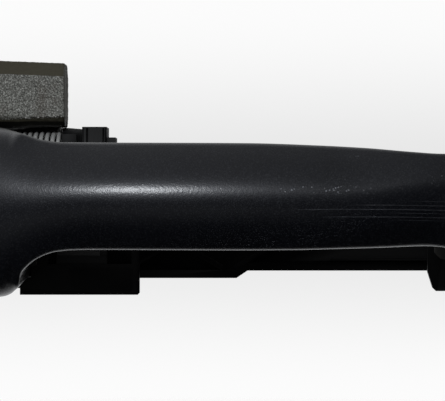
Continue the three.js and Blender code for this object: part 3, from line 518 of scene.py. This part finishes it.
PAINT = make_paint()
CARRIER_BLACK = make_plastic(
    "carrier_black", (0.0045, 0.0045, 0.005), 0.5, wear=0.04, specular=0.12,
    # painted light on the lit ledge of the lower block
    painted_light_patch=(-0.0095, 0.0058, 0.0041, -0.0199, -0.0152),
)
GRIP_BLACK = make_plastic("grip_black", (0.0085, 0.0085, 0.009), 0.46, scale=3800)
CRANK_BLACK = make_plastic("crank_black", (0.011, 0.011, 0.0115), 0.48)
CLIP_WHITE = make_plastic("clip_natural", (0.42, 0.42, 0.39), 0.45, wear=0.2)
RUBBER = make_plastic(
    "seal_rubber", (0.085, 0.083, 0.078), 0.72, grain=0.00002, wear=0.01, scale=5200
)
CASTING = make_casting()
ZINC = make_metal("cast_zinc", (0.30, 0.31, 0.32), 0.42, grain=0.00003)
STEEL = make_metal("plated_steel", (0.48, 0.48, 0.47), 0.3)
SPRING_WIRE = make_metal("spring_wire", (0.92, 0.92, 0.90), 0.5, (900, 120, 120), 0.00002, 0.8, 0.3)
CHROME = make_metal("satin_chrome", (0.62, 0.63, 0.64), 0.14, (1600, 80, 80), 0.000004, 0.92)
BRASS = make_metal("turned_brass", (0.52, 0.37, 0.15), 0.3, (200, 2600, 200))


# ---------------------------------------------------------------- painted shells
def roll_radius(x):
    """Radius with which the painted front rolls over into the sides: tight along the strap,
    wide on both heads and on the drooping corner of the rear one."""
    STRAP, HEADS = 1.05, 5.2
    droop = smoothstep(-np.asarray(x, float), 16.8, 20.8)
    return STRAP + np.maximum(HEADS * into_head(x, -28, -46, 104, 122), HEADS * droop)


def ridge_z(x):
    """Height of the ridge line, which climbs a little towards both heads."""
    return RIDGE_Z + 1.1 * smoothstep(-np.asarray(x, float), 12, 26) + 3.4 * smoothstep(x, 72, 104)


def front_y(x, z):
    """The painted front before its edges roll over: a bow along x and a crowned section."""
    # curvature above and below the crest, on the strap and then on the heads
    head = into_head(x, 6, -34, 98, 124)
    rise = 0.0385 + (0.0150 - 0.0385) * head
    fall = 0.0300 + (0.0105 - 0.0300) * head
    crest = ridge_z(x) - RIDGE_TILT / (2 * rise)
    up = np.maximum(z - crest, 0)
    down = np.maximum(crest - z, 0)
    return bow(x) + rise * up**2 + fall * down**2


def outline_distance(x, z, outline):
    """Distance from points to a polyline in the xz plane."""
    a = outline[:-1]
    b = outline[1:]
    along = b - a
    squared = np.maximum((along**2).sum(1), 1e-12)
    points = np.stack([x.ravel(), z.ravel()], 1)
    best = np.full(len(points), 1e9)
    CHUNK = 2000
    for start in range(0, len(points), CHUNK):
        p = points[start : start + CHUNK, None, :] - a[None]
        t = np.clip((p * along[None]).sum(2) / squared[None], 0, 1)
        gap = np.linalg.norm(p - t[..., None] * along[None], axis=2)
        best[start : start + CHUNK] = gap.min(1)
    return best.reshape(x.shape)


def stations_between(start, end, step):
    """Stations along x, finer where the outline turns and towards the rounded ends."""
    xs = [start]
    while xs[-1] < end:
        x = xs[-1]
        near_end = min(abs(x - REAR_END_X), abs(x - FRONT_END_X))
        corner = 0.2 if -19.6 < x < -14.5 else 0.5 if -26 < x < -6 else step
        xs.append(x + min(corner, 0.12 + near_end * 0.12))
    xs[-1] = end
    return np.array(xs)


def pillow(xs, across, inset):
    """Grid of points of the painted front over the outline, `inset` behind the outside."""
    # denser towards both edges, where the surface rolls over
    t = np.linspace(-1, 1, across)
    share = np.sin(t * math.pi / 2) * 0.55 + np.tanh(t * 2.6) / math.tanh(2.6) * 0.45
    top = edge_z(upper_edge, xs) - inset
    bottom = edge_z(lower_edge, xs) + inset
    z = (top + bottom)[:, None] / 2 + (top - bottom)[:, None] / 2 * share[None]
    x = np.repeat(xs[:, None], across, 1)
    full = stations_between(REAR_END_X, FRONT_END_X, 1.2)
    above = np.stack([full, edge_z(upper_edge, full) - inset], 1)
    below = np.stack([full, edge_z(lower_edge, full) + inset], 1)
    outline = np.concatenate([below[::-1], above, below[-1:]])
    radius = np.maximum(roll_radius(x) - inset * 0.5, 0.6)
    into = np.clip(outline_distance(x, z, outline) / radius, 0, 1)
    rolled = radius * (1 - np.sqrt(np.maximum(1 - (1 - into) ** 2, 0)))
    y = front_y(x, z) + inset + rolled
    return np.stack([x, y, z], 2)


def rim_y(x):
    """How far back the sides reach: a little way on the strap, to the seat on the heads."""
    STRAP_SIDE = 10.4
    side = bow(x) + STRAP_SIDE
    return side + (SEAT_Y - side) * into_head(x, 12, -16, 98, 119)


def painted_shell(name, start, end):
    """A closed thin shell: painted front, sides back to the rim, and the inside."""
    ACROSS = 72
    outer_xs = stations_between(start, end, 1.5)
    spread = (outer_xs - start) / (end - start)
    inner_xs = start + WALL + spread * (end - WALL - start - WALL)
    outer = pillow(outer_xs, ACROSS, 0.0)
    inner = pillow(inner_xs, ACROSS, WALL)
    rows = len(outer_xs)
    points, faces = [], []

    def add_sheet(grid, inward):
        base = len(points)
        points.extend(grid.reshape(-1, 3).tolist())
        for i in range(rows - 1):
            for j in range(ACROSS - 1):
                quad = [base + i * ACROSS + j, base + (i + 1) * ACROSS + j]
                quad += [base + (i + 1) * ACROSS + j + 1, base + i * ACROSS + j + 1]
                faces.append(quad if not inward else quad[::-1])
        return base

    loop = [i * ACROSS for i in range(rows)]
    loop += [(rows - 1) * ACROSS + j for j in range(1, ACROSS)]
    loop += [i * ACROSS + ACROSS - 1 for i in range(rows - 2, -1, -1)]
    loop += [j for j in range(ACROSS - 2, 0, -1)]

    def add_ring(co):
        base = len(points)
        points.extend(co)
        return [base + k for k in range(len(co))]

    def bridge(first, second):
        for k in range(len(first)):
            n = (k + 1) % len(first)
            faces.append((first[n], first[k], second[k], second[n]))

    outer_base = add_sheet(outer, False)
    inner_base = add_sheet(inner, True)
    outer_edge = [outer_base + k for k in loop]
    inner_edge = [inner_base + k for k in loop]
    edge_points = outer.reshape(-1, 3)[loop]
    inside_points = inner.reshape(-1, 3)[loop]
    rims = np.maximum(rim_y(edge_points[:, 0]), edge_points[:, 1] + 0.7)
    BREAK, UNDERCUT = 0.35, 2.0
    toward = inside_points[:, (0, 2)] - edge_points[:, (0, 2)]
    toward /= np.maximum(np.linalg.norm(toward, axis=1), 1e-6)[:, None]
    # deep walls lean inwards towards the rim
    lean = UNDERCUT * smoothstep(rims - edge_points[:, 1], 8, 22)

    def at_rim(source, shift, back):
        return [
            (p[0] + s[0] * (shift + m), r - back, p[2] + s[1] * (shift + m))
            for p, s, r, m in zip(source, toward, rims, lean)
        ]

    rings = [
        outer_edge,
        add_ring(at_rim(edge_points, 0, BREAK)),
        add_ring(at_rim(edge_points, BREAK * 0.3, BREAK * 0.3)),
        add_ring(at_rim(edge_points, BREAK, 0)),
        add_ring(at_rim(inside_points, -BREAK, 0)),
        add_ring(at_rim(inside_points, 0, BREAK)),
        inner_edge,
    ]
    for first, second in zip(rings, rings[1:]):
        bridge(first, second)
    return mesh_of(name, points, faces)


def build_paint_pieces():
    """The painted shell of the grip, and the fixed lock cover with a hole for the lock."""
    shell = painted_shell("grip_shell", REAR_SPLIT_X + SPLIT_GAP, FRONT_END_X)
    add_piece("painted_grip_shell", shell, "grip", PAINT, ["grip_outer_shell"], crease=50)
    cap = painted_shell("lock_cap", REAR_END_X, REAR_SPLIT_X - SPLIT_GAP)
    bm = bmesh.new()
    hole = [(0, -60), (LOCK_HOLE_RADIUS, -60), (LOCK_HOLE_RADIUS, 10), (0, 10)]
    add_lathe(bm, hole, "y", (LOCK_X, 0, LOCK_Z), 96)
    cap = cut_by(cap, finish_bmesh(bm, "lock_hole"))
    add_piece("painted_lock_cap", cap, "root", PAINT, ["lock_cover_cap"], crease=50)


# ---------------------------------------------------------------- counterweight
def build_counterweight():
    """Cast block with a sloping top; its main faces are really rough, its chamfers smoother."""
    x0, x1 = -47.0, -7.6
    y0, y1 = 10.0, 28.0
    FOOT, TOP, TOP_CHAMFER, ROUND, SKIN = 21.15, 40.6, 4.2, 0.6, 0.08
    STEP, END_RINGS = 0.34, 12
    ARC = 0.134  # 1 - cos 30 degrees: puts two corners on a quarter circle
    slope = math.tan(math.radians(2.2))

    def section(x, inset):
        """Outline in the yz plane, with a round lower front edge and chamfers on the others."""
        shift = (x1 - x) * slope
        # the foot is half a millimetre deeper in its left part
        low = FOOT - 0.5 * float(smoothstep(-x, 17, 22))
        cut = FOOT + 2.7 + shift - low
        crest = TOP + shift
        corners = [
            (y0 + cut, low), (y0 + cut * 0.5, low + cut * ARC),
            (y0 + cut * ARC, low + cut * 0.5), (y0, low + cut),
            (y0, crest - TOP_CHAMFER), (y0 + TOP_CHAMFER, crest),
            (y1 - TOP_CHAMFER, crest), (y1, crest - TOP_CHAMFER),
            (y1, low + cut), (y1 - cut, low),
        ]
        middle = Vector(((y0 + y1) / 2, (low + crest) / 2))
        half = Vector(((y1 - y0) / 2, (crest - low) / 2))
        share = Vector((1 - (inset + SKIN) / half.x, 1 - (inset + SKIN) / half.y))
        moved = [
            (middle.x + (y - middle.x) * share.x, middle.y + (z - middle.y) * share.y)
            for y, z in corners
        ]
        return rounded_loop(moved, 0.5, 2)

    # how far in from either end a station lies, and how much smaller its outline is there
    round_off = [
        (ROUND * (1 - math.cos(a)), ROUND * (1 - math.sin(a))) for a in (0.0, 0.5, 1.0, 1.3)
    ]
    steps = int((x1 - x0 - 2 * ROUND) / STEP)
    first, last = x0 + ROUND, x1 - ROUND
    stations = [(x0 + SKIN + out, inset) for out, inset in round_off]
    stations += [(first + (last - first) * k / steps, 0.0) for k in range(1, steps)]
    stations += [(x1 - SKIN - out, inset) for out, inset in reversed(round_off)]
    counts = None
    bm = bmesh.new()
    rings = []
    for x, inset in stations:
        loop, made = resampled(section(x, inset), STEP, counts)
        counts = counts or made
        rings.append([bm.verts.new((x, y, z)) for y, z in loop])
    for low, high in zip(rings, rings[1:]):
        for k in range(len(low)):
            n = (k + 1) % len(low)
            bm.faces.new((low[k], low[n], high[n], high[k]))
    for end in (rings[0], rings[-1]):
        centre = Vector((end[0].co.x, (y0 + y1) / 2, (FOOT + TOP) / 2))
        last_ring = end
        for k in range(1, END_RINGS):
            ring = [bm.verts.new(centre + (v.co - centre) * (1 - k / END_RINGS)) for v in end]
            for i in range(len(ring)):
                n = (i + 1) % len(ring)
                bm.faces.new((last_ring[i], last_ring[n], ring[n], ring[i]))
            last_ring = ring
        hub = bm.verts.new(centre)
        for i in range(len(last_ring)):
            bm.faces.new((last_ring[i], last_ring[(i + 1) % len(last_ring)], hub))
    bmesh.ops.recalc_face_normals(bm, faces=bm.faces)
    bm.normal_update()
    # cast grit: ROUGH on the main faces, DRESSED on the chamfers, and all sunk a little
    ROUGH, DRESSED, SUNK = 0.11, 0.03, 0.02
    moves = []
    for v in bm.verts:
        slant = abs(v.normal.y * v.normal.z)
        rough = ROUGH if slant < 0.3 else DRESSED
        grit = noise.fractal(v.co * 1.3, 0.7, 2.2, 4)
        moves.append(v.normal * (rough * min(grit, 0.45) - SUNK))
    for v, move in zip(bm.verts, moves):
        v.co += move
    body = finish_bmesh(bm, "casting")
    tool = bmesh.new()
    screw_way = [(0, 0), (2.3, 0), (2.3, 34), (4.8, 34), (4.8, 60), (0, 60)]
    add_lathe(tool, screw_way, "z", (-36, CRANK_Y, 0), 48)
    # the notch in the foot that takes the spring's leg
    add_block(tool, (-10.8, -5), (19.3, 23.8), (18, 23.0))
    body = cut_by(body, finish_bmesh(tool, "ways"))
    add_piece(
        "counterweight_casting", body, "crank", CASTING, ["counterweight"], crease=60
    )


def rounded_loop(corners, radius, steps):
    """A closed outline with every corner turned into an arc."""
    out = []
    count = len(corners)
    for k in range(count):
        before, here, after = (Vector(corners[(k + d) % count]) for d in (-1, 0, 1))
        into = (before - here).normalized()
        away = (after - here).normalized()
        half = into.angle(away) / 2
        room = min((before - here).length, (after - here).length) * 0.45
        cut = min(radius / math.tan(half), room)
        start, end = here + into * cut, here + away * cut
        for s in range(steps + 1):
            t = s / steps
            out.append(tuple((1 - t) ** 2 * start + 2 * t * (1 - t) * here + t**2 * end))
    return out


def resampled(loop, step, counts):
    """The loop with its long sides divided. The first station, with counts of None, sets how
    many parts each side has, and the others follow it."""
    out, made = [], []
    for k in range(len(loop)):
        a, b = Vector(loop[k]), Vector(loop[(k + 1) % len(loop)])
        pieces = counts[k] if counts else max(1, int((b - a).length / step))
        made.append(pieces)
        out += [tuple(a.lerp(b, s / pieces)) for s in range(pieces)]
    return out, made


# ---------------------------------------------------------------- springs and wire
def wire_mesh(name, line, radius, sides):
    """A round wire along a list of points, with domed ends."""
    points = [Vector(p) for p in line]
    tangents = []
    for i in range(len(points)):
        a, b = points[max(i - 1, 0)], points[min(i + 1, len(points) - 1)]
        tangents.append((b - a).normalized())
    side = tangents[0].orthogonal().normalized()
    verts, faces = [], []
    for i, (p, t) in enumerate(zip(points, tangents)):
        side = (side - t * side.dot(t)).normalized()
        other = t.cross(side)
        for k in range(sides):
            angle = 2 * math.pi * k / sides
            verts.append(p + (side * math.cos(angle) + other * math.sin(angle)) * radius)
    rings = len(points)
    for i in range(rings - 1):
        for k in range(sides):
            n = (k + 1) % sides
            faces.append((i * sides + k, i * sides + n, (i + 1) * sides + n, (i + 1) * sides + k))
    ends = ((0, -tangents[0], points[0]), ((rings - 1) * sides, tangents[-1], points[-1]))
    for first, outward, at in ends:
        tip = len(verts)
        verts.append(at + outward * radius * 0.45)
        for k in range(sides):
            pair = (first + k, first + (k + 1) % sides)
            faces.append((pair[1], pair[0], tip) if first == 0 else (pair[0], pair[1], tip))
    return mesh_of(name, verts, faces)


def build_spring():
    """Torsion spring round the mandrel. Its left leg lies on the carrier, its right leg reaches
    up into the counterweight, and it winds up between the two."""
    TURNS, RADIUS, WIRE, LEG = 7.5, 6.85, 0.63, 7.3
    START = math.radians(-60)
    START_X, END_X = -23.15, -9.8
    PER_TURN = 42
    steps = round(TURNS * PER_TURN)
    coil = []
    for k in range(steps + 1):
        angle = START - 2 * math.pi * k / PER_TURN
        x = START_X + (END_X - START_X) * k / steps
        coil.append((x, CRANK_Y + RADIUS * math.cos(angle), CRANK_Z + RADIUS * math.sin(angle)))
    END = START - 2 * math.pi * TURNS

    def leg(at, angle, lengths):
        return [(at[0], at[1] + math.sin(angle) * s, at[2] - math.cos(angle) * s) for s in lengths]

    rest_leg = leg(coil[0], START, (-LEG, -5, -3, -1.2, -0.4))
    drive_leg = leg(coil[-1], END, (0.4, 1.2, 3, 5, LEG))
    mesh = wire_mesh("torsion_spring", rest_leg + coil + drive_leg, WIRE, 14)
    obj = add_piece(
        "torsion_spring", mesh, "root", SPRING_WIRE, ["return_spring"], ride=False
    )
    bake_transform(obj)


# ---------------------------------------------------------------- stage
def build_stage():
    """Pale round floor below the handle that fades into the white surroundings."""
    CENTRE, RADIUS = (0.03, 0.0, -0.11), 0.62
    bm = bmesh.new()
    bmesh.ops.create_circle(bm, cap_ends=True, radius=RADIUS, segments=96)
    bmesh.ops.translate(bm, vec=CENTRE, verts=bm.verts)
    mesh = bpy.data.meshes.new("floor")
    bm.to_mesh(mesh)
    bm.free()
    floor = bpy.data.objects.new("floor", mesh)
    bpy.context.scene.collection.objects.link(floor)
    floor.visible_glossy = False
    floor.visible_diffuse = False
    mat = material("pale_floor", (0.82, 0.82, 0.82), 0.9)
    n = Nodes(mat)
    reach = n.tree.nodes.new("ShaderNodeVectorMath")
    reach.operation = "DISTANCE"
    reach.inputs[1].default_value = CENTRE
    n.link(n.place, reach.inputs[0])
    seen_from_below = n.tree.nodes.new("ShaderNodeNewGeometry").outputs["Backfacing"]
    fade = n.grey(reach.outputs["Value"], 1, 0, 0.3, 0.6)
    seen_from_above = n.math("SUBTRACT", 1.0, seen_from_below)
    n.link(n.math("MULTIPLY", fade, seen_from_above), n.bsdf.inputs["Alpha"])
    n.bsdf.inputs["Emission Color"].default_value = (1, 1, 1, 1)
    n.bsdf.inputs["Emission Strength"].default_value = 0.5
    mesh.materials.append(mat)


# strength of the world's light from above and from behind the handle
OVERHEAD, BEHIND = 0.25, 0.66


def build_world():
    """White to the camera. It lights the handle from above and from behind and leaves the
    lower front dark, as a softbox over a white sweep does."""
    world = bpy.data.worlds.new("studio")
    bpy.context.scene.world = world
    world.use_nodes = True
    tree = world.node_tree
    tree.nodes.clear()

    def node(kind, **inputs):
        made = tree.nodes.new(kind)
        for key, value in inputs.items():
            made.inputs[key].default_value = value
        return made

    place = node("ShaderNodeTexCoord")
    split = node("ShaderNodeSeparateXYZ")
    tree.links.new(place.outputs["Generated"], split.inputs["Vector"])

    def ramp(source, start, end, low, high):
        made = tree.nodes.new("ShaderNodeMapRange")
        made.interpolation_type = "SMOOTHSTEP"
        values = {"From Min": start, "From Max": end, "To Min": low, "To Max": high}
        for key, value in values.items():
            made.inputs[key].default_value = value
        tree.links.new(source, made.inputs["Value"])
        return made.outputs["Result"]

    def combine(operation, a, b):
        made = tree.nodes.new("ShaderNodeMath")
        made.operation = operation
        tree.links.new(a, made.inputs[0])
        tree.links.new(b, made.inputs[1])
        return made.outputs["Value"]

    overhead = ramp(split.outputs["Z"], -0.15, 0.5, 0.006, OVERHEAD)
    # the softbox overhead reaches further to the left
    overhead = combine("MULTIPLY", overhead, ramp(split.outputs["X"], 0.42, -0.42, 0.6, 1.4))
    behind = ramp(split.outputs["Y"], 0.35, 0.8, 0.0, BEHIND)
    low_behind = combine("MULTIPLY", behind, ramp(split.outputs["Z"], -0.03, 0.12, 1.0, 0.3))
    # a faint bounce from below on the left
    from_left = ramp(split.outputs["X"], 0.32, 0.0, 0.0, 1.0)
    bounce = combine("MULTIPLY", from_left, ramp(split.outputs["Z"], -0.14, -0.34, 0.0, 1.0))
    bounce = combine("MULTIPLY", bounce, ramp(split.outputs["Z"], -0.8, -0.3, 0.0, 0.14))
    light = combine("ADD", combine("ADD", overhead, low_behind), bounce)
    height = tree.nodes.new("ShaderNodeMath")
    height.operation = "ABSOLUTE"
    tree.links.new(split.outputs["Z"], height.inputs[0])
    # behind the handle the white sweep is a shade darker than above and below it
    sweep = ramp(height.outputs["Value"], 0.0, 0.085, 0.775, 0.97)
    seen = node("ShaderNodeBackground", Color=(1, 1, 1, 1))
    tree.links.new(sweep, seen.inputs["Strength"])
    unseen = node("ShaderNodeBackground", Color=(0.97, 0.985, 1.0, 1))
    tree.links.new(light, unseen.inputs["Strength"])
    pick = tree.nodes.new("ShaderNodeMixShader")
    path = tree.nodes.new("ShaderNodeLightPath")
    tree.links.new(path.outputs["Is Camera Ray"], pick.inputs[0])
    tree.links.new(unseen.outputs[0], pick.inputs[1])
    tree.links.new(seen.outputs[0], pick.inputs[2])
    out = tree.nodes.new("ShaderNodeOutputWorld")
    tree.links.new(pick.outputs[0], out.inputs["Surface"])


def area_light(name, at, toward, size, power):
    """A cool elliptical light at one point that shines towards another."""
    data = bpy.data.lights.new(name, "AREA")
    data.shape = "ELLIPSE"
    data.size, data.size_y = size
    data.energy = power
    data.color = (0.94, 0.97, 1.0)
    obj = bpy.data.objects.new(name, data)
    obj.location = at
    obj.rotation_euler = (Vector(toward) - Vector(at)).to_track_quat("-Z", "Y").to_euler()
    bpy.context.scene.collection.objects.link(obj)


def build_lights():
    """A small softbox that makes the bright spot on the crest, and a long one that draws it
    out along the strap. Places and sizes are in metres."""
    at, toward = (-0.077, -0.59, 0.227), (0.0115, -0.045, 0.002)
    area_light("key", at, toward, (0.07, 0.07), 0.93)
    area_light("strip", at, toward, (0.8, 0.12), 0.08)


def build_camera():
    """Level with the handle and straight in front of it, close in on the strap."""
    data = bpy.data.cameras.new("camera")
    DISTANCE, SEEN_WIDTH, EYE_Z = 650.0, 123.6111, -1.14
    data.sensor_width = 36.0
    data.lens = data.sensor_width * DISTANCE / SEEN_WIDTH
    data.clip_start, data.clip_end = 0.01, 20.0
    camera = bpy.data.objects.new("camera", data)
    camera.location = (CROWN_X * MM, (CROWN_Y - DISTANCE) * MM, EYE_Z * MM)
    camera.rotation_euler = (math.pi / 2, 0, 0)
    bpy.context.scene.collection.objects.link(camera)
    bpy.context.scene.camera = camera
    bpy.context.scene.view_settings.view_transform = "Standard"


# ---------------------------------------------------------------- refined CAD pieces
REFINED = [
    # node, piece, body, material, slot, edge break in mm
    ("carrier", "carrier_frame", "root", CARRIER_BLACK, "carrier_plastic", 0.35),
    ("grip_inner_shell", "grip_inner", "grip", GRIP_BLACK, "grip_plastic", 0.4),
    ("pull_arm", "pull_arm_casting", "grip", ZINC, "cast_zinc", 0.4),
    ("bell_crank", "bell_crank_moulding", "crank", CRANK_BLACK, "crank_plastic", 0.3),
    ("lock_housing", "lock_body", "root", ZINC, "cast_zinc", 0.3),
    ("lock_clamp_slider", "clamp_slider", "root", ZINC, "cast_zinc", 0.25),
    ("lock_tailpiece", "tailpiece", "key_barrel", STEEL, "steel", 0.25),
    ("key_plug", "key_cylinder", "key_barrel", CHROME, "chrome", 0.2),
    ("lock_bezel", "bezel_ring", "root", CHROME, "chrome", 0.5),
    ("pin_retaining_clip", "crank_pin_clip", "root", STEEL, "steel", 0.1),
    ("plug_retaining_clip", "plug_clip", "key_barrel", STEEL, "steel", 0.1),
    ("hinge_pin", "grip_hinge_pin", "root", STEEL, "steel", 0.4),
    ("pivot_pin", "crank_pin", "root", STEEL, "steel", 0.3),
    ("rest_buffer", "grip_buffer", "grip", RUBBER, "rubber", 0.4),
    ("front_gasket", "front_seal", "root", RUBBER, "rubber", 0.4),
    ("rear_gasket", "rear_seal", "root", RUBBER, "rubber", 0.4),
    ("cable_anchor_clip", "cable_clip", "root", CLIP_WHITE, "clip_plastic", 0.2),
    ("carrier_insert_nut", "insert_nut", "root", BRASS, "brass", 0.2),
    ("carrier_screw_front", "carrier_screw", "root", STEEL, "steel", 0.2),
    ("lock_retaining_screw", "lock_screw", "root", STEEL, "steel", 0.3),
    ("grip_screw_rear", "arm_screw_rear", "grip", STEEL, "steel", 0.2),
    ("grip_screw_front", "arm_screw_front", "grip", STEEL, "steel", 0.2),
    ("counterweight_screw", "weight_screw", "crank", STEEL, "steel", 0.3),
]


def tuck_seal(bm):
    """Draws the rear seal's two corners next to the strap in behind the head of the grip."""
    ASIDE, RAISED, LOWERED = 0.9, 1.5, 1.1
    for vert in bm.verts:
        x, z = vert.co.x / MM, vert.co.z / MM
        lower = float(smoothstep(-z, 19, 24.5) * smoothstep(x, -34, -22))
        upper = float(smoothstep(z, 13, 16) * smoothstep(x, -25.5, -19))
        vert.co.x -= ASIDE * lower * MM
        vert.co.z += (RAISED * lower - LOWERED * upper) * MM


def build_refined_pieces():
    """The CAD's own shapes with broken edges, each as a piece with its material."""
    for node, name, body, mat, slot, bevel in REFINED:
        bm = refined(node, bevel)
        if node == "rear_gasket":
            tuck_seal(bm)
        mesh = finish_bmesh(bm, name, 1)
        add_piece(name, mesh, body, mat, [node])


build_camera()
build_paint_pieces()
build_counterweight()
build_spring()
build_refined_pieces()
build_world()
build_lights()
build_stage()
